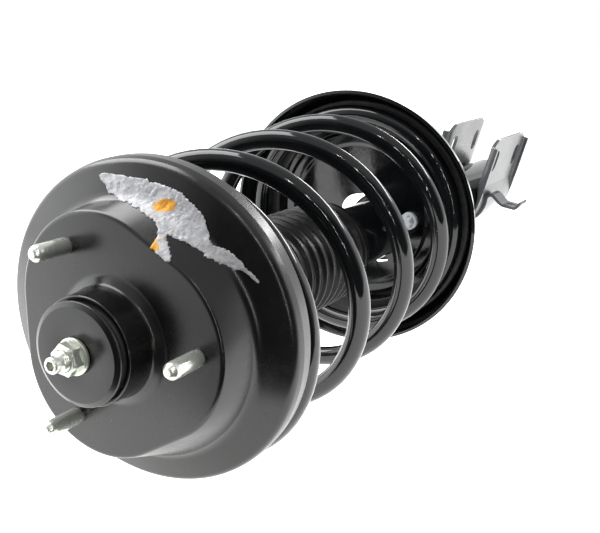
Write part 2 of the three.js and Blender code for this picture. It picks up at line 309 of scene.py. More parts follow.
def scratch(bm: bmesh.types.BMesh) -> bpy.types.Object:
    """Puts a mesh into the scene for a while, so that modifiers can work on it."""
    mesh = bpy.data.meshes.new("scratch")
    bm.to_mesh(mesh)
    bm.free()
    obj = bpy.data.objects.new("scratch", mesh)
    bpy.context.scene.collection.objects.link(obj)
    return obj


def carved(bm: bmesh.types.BMesh, cutters: Sequence[bmesh.types.BMesh], sheet: float = 0.0,
           side: float = 0.0) -> bmesh.types.BMesh:
    """Gives a sheet its thickness and cuts holes in it.

    Args:
        bm: a closed solid, or an open sheet when sheet is given.
        cutters: closed solids to take away.
        sheet: thickness of the sheet.
        side: where the thickness goes, from -1 inward to 1 outward.

    Returns:
        The cut body.
    """
    body = scratch(bm)
    if sheet:
        thick = body.modifiers.new("thick", "SOLIDIFY")
        thick.thickness, thick.offset, thick.use_even_offset = sheet, side, True
    tools = [scratch(c) for c in cutters]
    for tool in tools:
        cut = body.modifiers.new("cut", "BOOLEAN")
        cut.object, cut.operation, cut.solver = tool, "DIFFERENCE", "EXACT"
    bpy.context.view_layer.update()
    ready = body.evaluated_get(bpy.context.evaluated_depsgraph_get())
    out = bmesh.new()
    out.from_mesh(ready.to_mesh())
    ready.to_mesh_clear()
    for obj in [body, *tools]:
        mesh = obj.data
        bpy.data.objects.remove(obj)
        bpy.data.meshes.remove(mesh)
    bmesh.ops.remove_doubles(out, verts=out.verts, dist=0.002)
    return out


# ---------------------------------------------------------------- materials

class Shader:
    """A node material while it is being wired."""

    def __init__(self, name: str) -> None:
        """Starts an empty material with one Principled shader."""
        self.material = bpy.data.materials.new(name)
        self.material.use_nodes = True
        self.tree = self.material.node_tree
        self.surface = self.tree.nodes["Principled BSDF"]
        self.place = self.tree.nodes.new("ShaderNodeTexCoord").outputs["Object"]

    def set(self, **values: object) -> None:
        """Sets constants on the shader's own sockets, with underscores for spaces."""
        for key, value in values.items():
            self.surface.inputs[key.replace("_", " ")].default_value = value

    def math(self, kind: str, a: object, b: object = 0.0) -> bpy.types.NodeSocket:
        """One arithmetic node; each of a and b is a socket or a number."""
        node = self.tree.nodes.new("ShaderNodeMath")
        node.operation = kind
        for socket, value in zip(node.inputs, (a, b)):
            if isinstance(value, bpy.types.NodeSocket):
                self.tree.links.new(value, socket)
            else:
                socket.default_value = value
        return node.outputs[0]

    def mapped(self, scale: tuple[float, float, float], centre: Vector = Vector()) -> bpy.types.NodeSocket:
        """Object coordinates moved to a centre and stretched.

        Args:
            scale: the stretch along each axis.
            centre: the point that becomes zero, in metres.

        Returns:
            The new coordinates.
        """
        node = self.tree.nodes.new("ShaderNodeMapping")
        node.inputs["Scale"].default_value = scale
        node.inputs["Location"].default_value = [-c * s for c, s in zip(centre, scale)]
        self.tree.links.new(self.place, node.inputs["Vector"])
        return node.outputs[0]

    def noise(self, grain: float, detail: float = 3.0,
              at: bpy.types.NodeSocket | None = None) -> bpy.types.NodeSocket:
        """Soft random mottling.

        Args:
            grain: size of one blotch in millimetres.
            detail: how many finer layers it has.
            at: other coordinates than the object's.

        Returns:
            A value round 0.5.
        """
        node = self.tree.nodes.new("ShaderNodeTexNoise")
        node.inputs["Scale"].default_value = 1000.0 / grain
        node.inputs["Detail"].default_value = detail
        self.tree.links.new(at or self.place, node.inputs["Vector"])
        return node.outputs["Fac"]

    def flecks(self, spacing: float, share: float, size: float) -> bpy.types.NodeSocket:
        """Sparse round specks, such as dust.

        Args:
            spacing: distance between possible specks in millimetres.
            share: how many of those places hold one.
            size: radius of a speck as a share of the spacing.

        Returns:
            1 on a speck and 0 elsewhere.
        """
        cells = self.tree.nodes.new("ShaderNodeTexVoronoi")
        cells.inputs["Scale"].default_value = 1000.0 / spacing
        self.tree.links.new(self.place, cells.inputs["Vector"])
        tint = self.tree.nodes.new("ShaderNodeSeparateColor")
        self.tree.links.new(cells.outputs["Color"], tint.inputs["Color"])
        near = self.math("LESS_THAN", cells.outputs["Distance"], size)
        return self.math("MULTIPLY", near, self.math("LESS_THAN", tint.outputs[0], share))

    def graded(self, value: bpy.types.NodeSocket, low: float, high: float, start: float = 0.3,
               end: float = 0.7) -> bpy.types.NodeSocket:
        """Maps a value onto a range.

        Args:
            value: the socket to read.
            low: result at start.
            high: result at end.
            start: value that gives low.
            end: value that gives high.

        Returns:
            The mapped value, held within the range.
        """
        node = self.tree.nodes.new("ShaderNodeMapRange")
        for key, number in (("From Min", start), ("From Max", end), ("To Min", low), ("To Max", high)):
            node.inputs[key].default_value = number
        self.tree.links.new(value, node.inputs["Value"])
        return node.outputs["Result"]

    def colour(self, share: bpy.types.NodeSocket, first: Sequence[float], second: Sequence[float],
               under: bpy.types.NodeSocket | None = None) -> bpy.types.NodeSocket:
        """Mixes two colours.

        Args:
            share: 0 for the first colour and 1 for the second.
            first: the first colour.
            second: the second colour.
            under: a socket used in place of the first colour.

        Returns:
            The mixed colour.
        """
        node = self.tree.nodes.new("ShaderNodeMix")
        node.data_type = "RGBA"
        node.inputs[6].default_value = (*first, 1)
        node.inputs[7].default_value = (*second, 1)
        self.tree.links.new(share, node.inputs[0])
        if under is not None:
            self.tree.links.new(under, node.inputs[6])
        return node.outputs[2]

    def bump(self, height: bpy.types.NodeSocket, depth: float, strength: float = 1.0) -> None:
        """Adds relief on top of any relief that is already there.

        Args:
            height: the pattern, from 0 to 1.
            depth: height of the relief in millimetres.
            strength: how much of it shows.
        """
        node = self.tree.nodes.new("ShaderNodeBump")
        node.inputs["Distance"].default_value = depth * MM
        node.inputs["Strength"].default_value = strength
        self.tree.links.new(height, node.inputs["Height"])
        wired = self.surface.inputs["Normal"].links
        if wired:
            self.tree.links.new(wired[0].from_socket, node.inputs["Normal"])
        self.tree.links.new(node.outputs["Normal"], self.surface.inputs["Normal"])

    def wire(self, **sockets: bpy.types.NodeSocket) -> bpy.types.Material:
        """Links sockets to the shader, with underscores for spaces, and returns the material."""
        for key, socket in sockets.items():
            self.tree.links.new(socket, self.surface.inputs[key.replace("_", " ")])
        return self.material


class Finish(Protocol):
    """Anything that can make its own material."""

    def make(self) -> bpy.types.Material:
        """Builds the material."""
        ...


@dataclass(frozen=True)
class Paint:
    """Black coating with orange peel, faint haze and a little dust."""

    name: str
    base: tuple[float, float, float]
    gloss_from: float
    gloss_to: float
    peel: float
    peel_depth: float
    dust: float = 0.012
    coat: float = 0.0

    def make(self) -> bpy.types.Material:
        """Builds the material."""
        s = Shader(self.name)
        haze = s.noise(38, 4)
        grime = s.noise(5.5, 5)
        tone = s.colour(s.graded(haze, 0, 1), self.base, tuple(1.7 * c + 0.002 for c in self.base))
        specks = s.flecks(1.5, self.dust, 0.14)
        tone = s.colour(s.math("MULTIPLY", specks, 0.7), (0, 0, 0), (0.42, 0.42, 0.40), tone)
        rough = s.math("ADD", s.graded(haze, self.gloss_from, self.gloss_to),
                       s.graded(grime, -0.02, 0.03))
        rough = s.math("ADD", rough, s.math("MULTIPLY", specks, 0.5))
        s.bump(s.noise(self.peel, 1.5), self.peel_depth, 0.55)
        s.bump(s.noise(0.45, 2), self.peel_depth * 0.18, 0.5)
        s.set(IOR=1.5, Coat_Weight=self.coat, Coat_Roughness=0.06, Coat_IOR=1.5)
        return s.wire(Base_Color=tone, Roughness=rough)


@dataclass(frozen=True)
class Plated:
    """Bright metal with turning lines round its axis and slight cloudiness."""

    name: str
    base: tuple[float, float, float]
    tint: tuple[float, float, float]
    rough: float
    line: float = 0.35
    line_depth: float = 0.01
    metal: float = 1.0

    def make(self) -> bpy.types.Material:
        """Builds the material."""
        s = Shader(self.name)
        cloud = s.noise(7, 4)
        lines = s.noise(1000.0, 3, s.mapped((25, 1000.0 / self.line, 25)))
        tone = s.colour(s.graded(cloud, 0, 1), self.base, self.tint)
        rough = s.math("ADD", s.graded(cloud, self.rough * 0.75, self.rough * 1.35), s.graded(lines, -0.03, 0.04))
        s.bump(lines, self.line_depth, 0.6)
        s.bump(s.noise(0.8, 3), 0.012, 0.4)
        s.set(Metallic=self.metal)
        return s.wire(Base_Color=tone, Roughness=rough)


@dataclass(frozen=True)
class Elastic:
    """Rubber or foam: dull, mottled and finely grained."""

    name: str
    base: tuple[float, float, float]
    bloom: tuple[float, float, float]
    rough: float
    grain: float = 0.5
    depth: float = 0.04
    sheen: float = 0.05
    bend: float = 1.52

    def make(self) -> bpy.types.Material:
        """Builds the material."""
        s = Shader(self.name)
        bloom = s.noise(14, 5)
        tone = s.colour(s.graded(bloom, 0, 1, 0.35, 0.75), self.base, self.bloom)
        rough = s.graded(s.noise(4, 4), self.rough - 0.06, self.rough + 0.08)
        s.bump(s.noise(self.grain, 3), self.depth, 0.5)
        s.bump(s.noise(6, 2), self.depth * 1.5, 0.3)
        s.set(Sheen_Weight=self.sheen, IOR=self.bend)
        return s.wire(Base_Color=tone, Roughness=rough)


@dataclass(frozen=True)
class Moulded:
    """Pale nylon with a fine moulded skin."""

    name: str
    base: tuple[float, float, float]
    shade: tuple[float, float, float]

    def make(self) -> bpy.types.Material:
        """Builds the material."""
        s = Shader(self.name)
        cloud = s.noise(3, 4)
        tone = s.colour(s.graded(cloud, 0, 1), self.base, self.shade)
        s.bump(s.noise(0.35, 2), 0.02, 0.5)
        s.set(Subsurface_Weight=0.08, Subsurface_Radius=(0.002, 0.002, 0.002), IOR=1.53)
        return s.wire(Base_Color=tone, Roughness=s.graded(cloud, 0.34, 0.48))


@dataclass(frozen=True)
class Foil:
    """Torn silver foil with creases, and two plain orange patches where a print was left out."""

    name: str
    patches: tuple[tuple[Vector, float, float], ...]

    def make(self) -> bpy.types.Material:
        """Builds the material."""
        s = Shader(self.name)
        cloud = s.noise(6, 5)
        streaks = s.noise(1.6, 6)
        tone = s.colour(s.graded(cloud, 0, 1), (0.36, 0.36, 0.37), (0.50, 0.50, 0.52))
        tone = s.colour(s.graded(streaks, 0, 0.55, 0.5, 0.8), (0, 0, 0), (0.16, 0.16, 0.17), tone)
        torn = s.noise(2.2, 5)
        for centre, radius, squeeze in self.patches:
            away = s.tree.nodes.new("ShaderNodeVectorMath")
            away.operation = "LENGTH"
            s.tree.links.new(s.mapped((1, 0, squeeze), centre), away.inputs[0])
            ragged = s.math("ADD", away.outputs["Value"], s.graded(torn, -0.0016, 0.0016))
            tone = s.colour(s.math("LESS_THAN", ragged, radius), (0, 0, 0), (0.62, 0.29, 0.03), tone)
        s.bump(s.noise(2.0, 6), 0.5, 0.9)
        s.bump(s.noise(9, 3), 0.9, 0.7)
        s.set(Metallic=0.2, IOR=1.4)
        return s.wire(Base_Color=tone, Roughness=s.graded(torn, 0.45, 0.65))


class Finishes:
    """Every finish on the strut, each made once when it is first used."""

    SATIN = Paint("satin_black_coat", (0.0026, 0.0024, 0.0023), 0.22, 0.28, 2.4, 0.03, 0.003)
    GLOSS = Paint("gloss_black_coat", (0.002, 0.0024, 0.0028), 0.06, 0.10, 3.2, 0.03, 0.006)
    ZINC = Plated("bright_zinc_plate", (0.68, 0.70, 0.62), (0.56, 0.59, 0.54), 0.22, 0.35, 0.006, 0.7)
    STEEL = Plated("oiled_steel", (0.46, 0.46, 0.46), (0.36, 0.35, 0.34), 0.34)
    CHROME = Plated("ground_chrome", (0.82, 0.83, 0.84), (0.78, 0.79, 0.80), 0.07, 0.2, 0.003)
    RUBBER = Elastic("moulded_rubber", (0.012, 0.012, 0.012), (0.026, 0.026, 0.025), 0.55)
    BOOT = Elastic("boot_rubber", (0.003, 0.003, 0.0034), (0.006, 0.006, 0.007), 0.3, 1.4, 0.003, 0.0, 1.28)
    FOAM = Elastic("cellular_foam", (0.52, 0.42, 0.22), (0.42, 0.33, 0.17), 0.85, 0.7, 0.12)
    PLASTIC = Moulded("pale_nylon", (0.60, 0.62, 0.65), (0.50, 0.52, 0.56))
    FOIL = Foil("torn_foil", ((Vector((0.0362, 0, 0.1757)), 0.0064, 1.9), (Vector((0.0420, 0, 0.1572)), 0.0029, 0.7)))
    # Bracket coat: a grey base far lighter than the other blacks, a painted sheen standing in for light on gloss
    # black paint.
    PAINTED_SHEEN_GREY = Paint("sheen_painted_bracket_coat", (0.042, 0.043, 0.046), 0.26, 0.36, 2.4, 0.03, 0.004)
    _made: dict[str, bpy.types.Material] = {}

    @classmethod
    def of(cls, finish: Finish) -> bpy.types.Material:
        """The material of a finish."""
        if finish.name not in cls._made:
            cls._made[finish.name] = finish.make()
        return cls._made[finish.name]


def piece(name: str, bm: bmesh.types.BMesh, place: Matrix, finish: Finish, body: Body,
          replaces: Sequence[str] = (), bevel: float = 0.0, sharp: float = 38.0) -> bpy.types.Object:
    """Turns a mesh into a finished piece of the strut.

    Args:
        name: the piece's name.
        bm: its mesh in millimetres, freed here.
        place: from those millimetres to the frame.
        finish: its coating or stuff.
        body: what it moves with.
        replaces: the CAD nodes that it stands for.
        bevel: width of rounded edges in millimetres, or 0 for none.
        sharp: angle in degrees past which an unbevelled edge stays crisp.

    Returns:
        The new object.
    """
    bmesh.ops.transform(bm, matrix=place, verts=bm.verts)
    mesh = bpy.data.meshes.new(name)
    bm.to_mesh(mesh)
    bm.free()
    mesh.shade_smooth()
    obj = bpy.data.objects.new(name, mesh)
    bpy.context.scene.collection.objects.link(obj)
    mesh.materials.append(Finishes.of(finish))
    if bevel:
        soft = obj.modifiers.new("soft_edges", "BEVEL")
        soft.width, soft.segments, soft.harden_normals = bevel * MM, 3, True
        soft.limit_method, soft.angle_limit = "ANGLE", math.radians(sharp)
    else:
        mesh.set_sharp_from_angle(angle=math.radians(sharp))
    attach(obj, body.value)
    if replaces:
        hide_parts(*replaces)
    LOG.info("%s: %d faces, rides on %s", name, len(mesh.polygons), body.value)
    return obj


# ---------------------------------------------------------------- top mount

@dataclass
class TopMount:
    """The pressed dish with its raised plate, the studs and the bushed hub."""

    sheet: float = 2.6
    plate_y: float = -33.6
    plate_r: float = 67.0
    lobe_r: float = 55.6
    lobe_out: float = 19.2
    turn: float = 1.0
    stud_pitch: float = 59.0
    stud_r: float = 5.0
    stud_length: float = 26.0
    hex_apothem: float = 8.14
    ledge_share: float = 0.35
    face: Sequence[Corner] = (
        (31.4, -55.5, 0), (32.2, -37.0, 3.4), (37.5, -33.4, 5), (67.0, -33.6, 3.2), (78.6, -10.6, 10.5),
        (98.9, -3.9, 9), (100, 3.2, 3), (99.6, 12.4, 0))

    def lobed(self, angle: float) -> float:
        """Reach of the raised plate in a direction: three lobes joined by straight sides."""
        step = math.tau / 3
        away = abs((angle - math.radians(self.turn) + step / 2) % step - step / 2)
        side = self.lobe_out / 2 + self.lobe_r
        join = math.atan2(self.lobe_r * math.sin(step / 2),
                          self.lobe_out + self.lobe_r * math.cos(step / 2))
        if away > join:
            return side / math.cos(step / 2 - away)
        across = self.lobe_out * math.sin(away)
        return self.lobe_out * math.cos(away) + math.sqrt(self.lobe_r ** 2 - across ** 2)

    def pressed(self, point: Vector) -> Vector:
        """Moves a point of the round shell to its place on the lobed, leaning one.

        Args:
            point: the point on the turned shell, in millimetres.

        Returns:
            The point on the pressed shell.
        """
        r = math.hypot(point.x, point.z)
        lobed = (self.lobed(math.atan2(point.z, point.x)) - self.plate_r) * ramp(r, 44, 60)
        stops = ((-32.0, 1.0), (-23.2, self.ledge_share), (-11.0, 0.0))
        share = 1.0 if point.y <= stops[0][0] else 0.0
        for (y0, s0), (y1, s1) in zip(stops, stops[1:]):
            if y0 < point.y <= y1:
                share = s0 + (s1 - s0) * (point.y - y0) / (y1 - y0)
        grown = 1 + lobed * share / r
        flat = Vector((point.x * grown, point.y, point.z * grown))
        return flat.lerp(AXES.lean() @ flat, ramp(point.y, -29, -12))

    def shell_mesh(self) -> bmesh.types.BMesh:
        """The one-piece pressing, in millimetres about the damper axis."""
        bm = spun(wall(rounded(self.face), self.sheet), 192)
        for vert in bm.verts:
            vert.co = self.pressed(vert.co)
        return bm

    def shell(self) -> bpy.types.Object:
        """The dish, raised plate and neck."""
        return piece("mount_dish_pressing", self.shell_mesh(), AXES.damper(), Finishes.SATIN, Body.TOP,
                     ["mount_shell"], bevel=0.9, sharp=50)

    def studs(self) -> None:
        """Three press-in studs with rounded lead-in points."""
        tip, r, under = self.plate_y - self.stud_length, self.stud_r, self.plate_y + self.sheet + 0.6
        outline = rounded([
            (0, tip, 0), (2.6, tip, 1.4), (4.7, tip + 2.5, 2.2), (r, tip + 5.2, 2), (r, self.plate_y - 1.2, 0.3),
            (r - 0.25, self.plate_y - 0.7, 0.2), (r - 0.25, under, 0.2), (8, under, 0.5), (8, under + 3, 0.8),
            (0, under + 3, 0)])
        for k in range(3):
            a = math.radians(self.turn + 120 * k)
            bm = spun(outline, 56)
            bmesh.ops.translate(bm, vec=(self.stud_pitch * math.cos(a), 0, self.stud_pitch * math.sin(a)),
                                verts=bm.verts)
            piece(f"stud_{k + 1}", bm, AXES.damper(), Finishes.ZINC, Body.TOP, [f"mount_stud_{k + 1}"])

    def hub(self) -> None:
        """The retaining disc and the rubber bushing under it."""
        disc = rounded([(6.4, -62.3, 0.3), (26.9, -62.3, 0.5), (29.7, -60.9, 0.7), (30, -59.3, 0.4),
                        (6.4, -59.3, 0.3)], closed=True)
        piece("retainer_disc", spun(disc, 128), AXES.damper(), Finishes.SATIN, Body.TOP,
              ["retainer_washer"])
        rubber = rounded([(10.8, -59, 0), (26.4, -59, 1.2), (27.2, -57, 0.8), (26.0, -55.2, 0.8), (27.6, -53, 1.2),
                          (28.4, -46, 2), (28.2, -38, 2), (22, -35, 1), (10.8, -35, 0)], closed=True)
        piece("bushing_rubber", spun(rubber, 96), AXES.damper(), Finishes.RUBBER, Body.TOP,
              ["mount_bushing"])

    def nut(self) -> None:
        """The flanged hexagon nut, chamfered by turning and then cut to six flats."""
        outline = rounded([(6.2, -72.1, 0.3), (7.7, -72.1, 0.3), (9.4, -71.0, 0.2), (9.4, -65.4, 0.6),
                           (10.6, -64.5, 0.5), (10.6, -62.6, 0.4), (6.2, -62.6, 0.2)], closed=True, steps=4)
        bm = spun(outline, 96)
        for vert in bm.verts:
            r, a = math.hypot(vert.co.x, vert.co.z), math.atan2(vert.co.z, vert.co.x) % (math.pi / 3)
            flat = self.hex_apothem / math.cos(a - math.pi / 6)
            if vert.co.y < -65.3 and r > flat:
                vert.co.x *= flat / r
                vert.co.z *= flat / r
        bmesh.ops.rotate(bm, matrix=Matrix.Rotation(math.radians(14), 3, "Y"), verts=bm.verts)
        piece("rod_flange_nut", bm, AXES.damper(), Finishes.ZINC, Body.TOP, ["rod_nut"], sharp=28)

    def build(self) -> None:
        """Makes every piece of the top mount."""
        self.shell()
        self.studs()
        self.hub()
        self.nut()


@dataclass
class FoilRemnant:
    """What is left of a protective foil: a torn strip that follows the dish, with no print on it."""

    mount: TopMount
    lift: float = 0.4
    crumple: float = 0.8
    cell: float = 1.3
    fray: float = 0.9
    edge: Sequence[tuple[float, float]] = (
        (-22.3, 88.5), (-19.9, 89.7), (-13.4, 89.9), (-6.2, 89.6), (0.7, 89.1), (6.7, 89.0), (10.7, 88.8),
        (12.8, 87.3), (16.7, 87.4), (21.1, 86.4), (26.8, 85.2), (31.9, 83.6), (36.4, 80.4), (40.9, 77.2),
        (44.9, 73.8), (48.4, 69.4), (50.3, 64.7), (52.2, 60.6), (54.3, 57.0), (58.7, 56.2), (62.8, 54.5),
        (66.8, 51.6), (70.2, 49.1), (71.7, 46.6), (76.0, 43.0), (79.5, 39.2), (78.8, 38.2), (74.6, 41.6),
        (70.9, 44.3), (66.9, 45.0), (62.8, 46.7), (59.2, 48.9), (55.4, 51.7), (51.0, 54.8), (46.7, 57.4),
        (42.8, 59.4), (39.6, 60.5), (36.2, 61.8), (33.2, 63.2), (35.1, 60.5), (38.0, 57.3), (42.0, 52.8),
        (42.6, 51.1), (40.3, 51.1), (36.4, 53.2), (32.3, 55.9), (30.0, 57.2), (30.4, 59.5), (30.0, 62.2),
        (28.5, 64.9), (25.3, 68.1), (20.3, 70.6), (16.0, 72.2), (11.6, 74.2), (6.6, 74.8), (3.0, 76.6),
        (-0.8, 75.9), (-6.2, 77.7), (-10.0, 79.3), (-12.8, 78.9), (-15.1, 80.7), (-16.2, 83.9), (-19.8, 85.7),
        (-21.9, 87.0))

    def drape(self, bm: bmesh.types.BMesh) -> None:
        """Drops every point of a flat sheet onto the pressing, then lifts and creases it."""
        shell = self.mount.shell_mesh()
        below = BVHTree.FromBMesh(shell)
        for vert in bm.verts:
            hit = below.ray_cast(Vector((vert.co.x, -80, vert.co.z)), Vector((0, 1, 0)))[0]
            vert.co.y = hit.y if hit else vert.co.y
        bmesh.ops.smooth_vert(bm, verts=[v for v in bm.verts if not v.is_boundary], factor=0.5,
                              use_axis_x=False, use_axis_y=True, use_axis_z=False)
        for vert in bm.verts:
            fold = abs(noise.noise(vert.co * 0.16)) + 0.6 * abs(noise.noise(vert.co * 0.37 + Vector((7, 3, 5))))
            vert.co.y -= self.lift + self.crumple * fold
        shell.free()

    def build(self) -> None:
        """Fills the torn outline, drapes it over the pressing and crumples it."""
        bm = bmesh.new()
        verts = [bm.verts.new((x, -20, z)) for x, z in self.edge]
        rim = [bm.edges.new(pair) for pair in zip(verts, verts[1:] + verts[:1])]
        bmesh.ops.triangle_fill(bm, edges=rim, use_beauty=True)
        for _ in range(6):
            long = [e for e in bm.edges if e.calc_length() > self.cell]
            bmesh.ops.subdivide_edges(bm, edges=long, cuts=1)
            bmesh.ops.triangulate(bm, faces=bm.faces)
            bmesh.ops.beautify_fill(bm, faces=bm.faces, edges=[e for e in bm.edges if not e.is_boundary])
        for vert in (v for v in bm.verts if v.is_boundary):
            vert.co.x += self.fray * noise.noise(vert.co * 0.9)
            vert.co.z += self.fray * noise.noise(vert.co * 0.9 + Vector((40, 0, 9)))
        self.drape(bm)
        bmesh.ops.recalc_face_normals(bm, faces=bm.faces)
        face_out(bm, lambda c: Vector((0, -1, 0)))
        obj = piece("foil_remnant", bm, AXES.damper(), Finishes.FOIL, Body.TOP, sharp=60)
        sheet = obj.modifiers.new("sheet", "SOLIDIFY")
        sheet.thickness, sheet.offset = 0.08 * MM, -1.0


# ---------------------------------------------------------------- damper

@dataclass
class Damper:
    """The piston rod, its stops and boot, and the painted tube."""

    rod_r: float = 11.0
    tip_y: float = -81.0
    thread_pitch: float = 1.25
    boot_r: float = 39.6
    boot_top: float = -9.0
    boot_bottom: float = 222.0
    boot_ridges: int = 21
    tube_r: float = 25.5

    def rod(self) -> None:
        """The ground rod with its threaded, socketed end."""
        start = self.tip_y + 5.6
        thread = [(5.35 + 0.65 * (i % 2), start + i * self.thread_pitch / 2, 0.15) for i in range(1, 9)]
        outline = rounded([(0, self.tip_y, 0), (4.1, self.tip_y, 0.4), (4.6, self.tip_y + 0.8, 0.4),
                           (4.75, self.tip_y + 3.6, 0.5), (5.35, start, 0.3), *thread, (6, start + 7, 0.2),
                           (6, -30, 0.3), (self.rod_r, -30, 0.8), (self.rod_r, 280, 0.8), (7, 280, 0.5),
                           (7, 317, 0.6), (0, 318, 0)], steps=3)
        socket = spun([Vector((0, self.tip_y - 2)), Vector((2.9, self.tip_y - 2)), Vector((2.9, self.tip_y + 5)),
                       Vector((0, self.tip_y + 6))], 6)
        obj = piece("damper_rod", carved(spun(outline, 64), [socket]), AXES.damper(), Finishes.CHROME, Body.TOP,
                    ["piston_rod"], sharp=30)
        obj.data.materials.append(Finishes.of(Finishes.ZINC))
        shoulder = AXES.origin().y - 29.5 * MM
        for face in obj.data.polygons:
            face.material_index = int(face.center.y < shoulder)

    def stops(self) -> None:
        """The pressed cup and the foam bump stop in it."""
        cup = wall(rounded([(self.rod_r + 0.4, -29.8, 0), (34.2, -29.8, 2.2), (35, -14, 0)]), 1.5)
        piece("bump_cup", spun(cup, 80), AXES.damper(), Finishes.STEEL, Body.TOP, ["bump_stop_cup"],
              bevel=0.4, sharp=50)
        foam = rounded([(11.6, -27.4, 0.5), (30, -27.4, 1.5), (30, -13, 4), (24, -6, 4), (27, 4, 4), (22, 12, 4),
                        (25, 22, 4), (20, 30, 4), (22, 40, 4), (15, 51.5, 3), (11.6, 52, 0.5)], closed=True)
        piece("foam_bump_stop", spun(foam, 80), AXES.damper(), Finishes.FOAM, Body.TOP, ["bump_stop"])

    def boot(self) -> None:
        """The ringed dust boot, on a mesh of its own."""
        pitch = (self.boot_bottom - self.boot_top - 10) / self.boot_ridges
        corners: list[Corner] = [(35.2, self.boot_top, 0.4), (37.2, self.boot_top, 0.6)]
        for i in range(self.boot_ridges):
            y = self.boot_top + 5 + pitch * (i + 0.5)
            corners += [(37.2, y - pitch * 0.24, 1.6), (self.boot_r, y - pitch * 0.07, 0.9),
                        (self.boot_r, y + pitch * 0.07, 0.9), (37.2, y + pitch * 0.24, 1.6)]
        corners += [(37.2, self.boot_bottom, 0.6), (35.2, self.boot_bottom, 0.4)]
        obj = piece("ringed_boot", spun(rounded(corners, closed=True, steps=3), 80), AXES.damper(), Finishes.BOOT,
                    Body.TOP, ["dust_boot"])
        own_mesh(obj)

    def tube(self) -> None:
        """The painted tube with its crimped foot, and the collar that carries the seat."""
        r = self.tube_r
        outline = rounded([(0, 609.4, 0), (16.5, 609.4, 2), (18.6, 612, 1.6), (22.2, 612, 2.4), (r, 606.5, 3),
                           (r, 203, 3), (r - 0.5, 200.4, 0.8), (r - 2.2, 200.2, 0.6), (r - 2.4, 204, 1),
                           (r - 2.4, 605, 2), (0, 606.4, 0)])
        piece("strut_tube", spun(outline, 112), AXES.damper(), Finishes.GLOSS, Body.LOWER,
              ["damper_tube"])
        collar = rounded([(r + 0.2, 319.6, 0.4), (r + 4.6, 319.6, 1.4), (r + 5, 330, 1.6), (r + 2.6, 334, 1.4),
                          (r + 0.2, 334, 0.3)], closed=True)
        bm = spun(collar, 144)
        for vert in bm.verts:
            a = math.atan2(vert.co.z, vert.co.x)
            if vert.co.y > 331 and math.hypot(vert.co.x, vert.co.z) > r + 1:
                vert.co.y += 0.45 * math.sin(44 * a) + 0.5 * noise.noise(vert.co * 0.35)
        piece("weld_collar", bm, AXES.damper(), Finishes.GLOSS, Body.LOWER, ["seat_collar"])

    def inner_parts(self) -> None:
        """Finishes for the CAD pieces that stay inside the tube and the hub."""
        steel = ("bushing_sleeve", "lower_washer", "piston", "piston_nut", "gland_nut", "rod_guide",
                 "pressure_tube", "base_valve")
        rubber = ("rebound_stop", "piston_band", "rod_seal")
        for names, finish in ((steel, Finishes.STEEL), (rubber, Finishes.RUBBER)):
            for name in names:
                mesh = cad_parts[name].data
                mesh.materials.clear()
                mesh.materials.append(Finishes.of(finish))
                LOG.info("%s: carried over with %s", name, finish.name)

    def build(self) -> None:
        """Makes every piece of the damper."""
        self.rod()
        self.stops()
        self.boot()
        self.tube()
        self.inner_parts()


# ---------------------------------------------------------------- spring and seats

